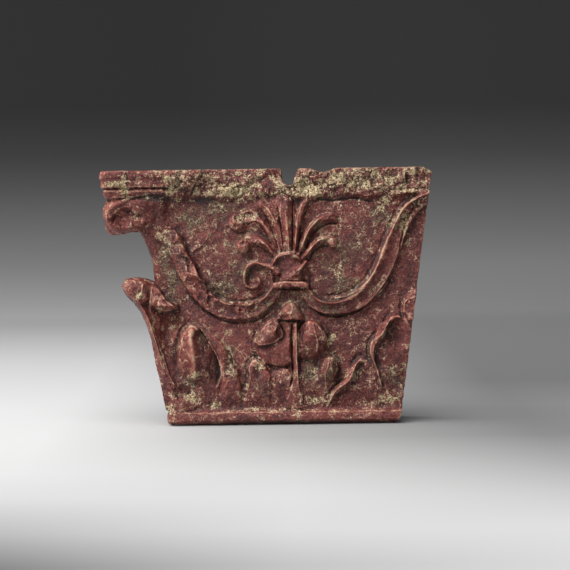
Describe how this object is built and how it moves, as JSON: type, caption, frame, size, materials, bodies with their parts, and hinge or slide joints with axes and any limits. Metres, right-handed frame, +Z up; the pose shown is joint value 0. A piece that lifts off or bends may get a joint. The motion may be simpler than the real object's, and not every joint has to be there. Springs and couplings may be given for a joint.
{
  "type": "pilaster capital",
  "caption": "Carved red marble pilaster capital, one block: palmette on a calyx between volute bands over acanthus leaves; abacus broken, right side sawn off.",
  "frame": {"origin": "middle of the foot's depth on the underside, on the axis of the carving", "axes": "+Z up, the carved face looks along -Y, the flat back looks along +Y, the sawn side is at +X"},
  "size_m": [0.2494, 0.0663, 0.194],
  "materials": {
    "red_marble": "worn satin with beige crust and brown patina in the recesses"
  },
  "bodies": {
    "root": {"capital": "red_marble"}
  },
  "joints": []
}
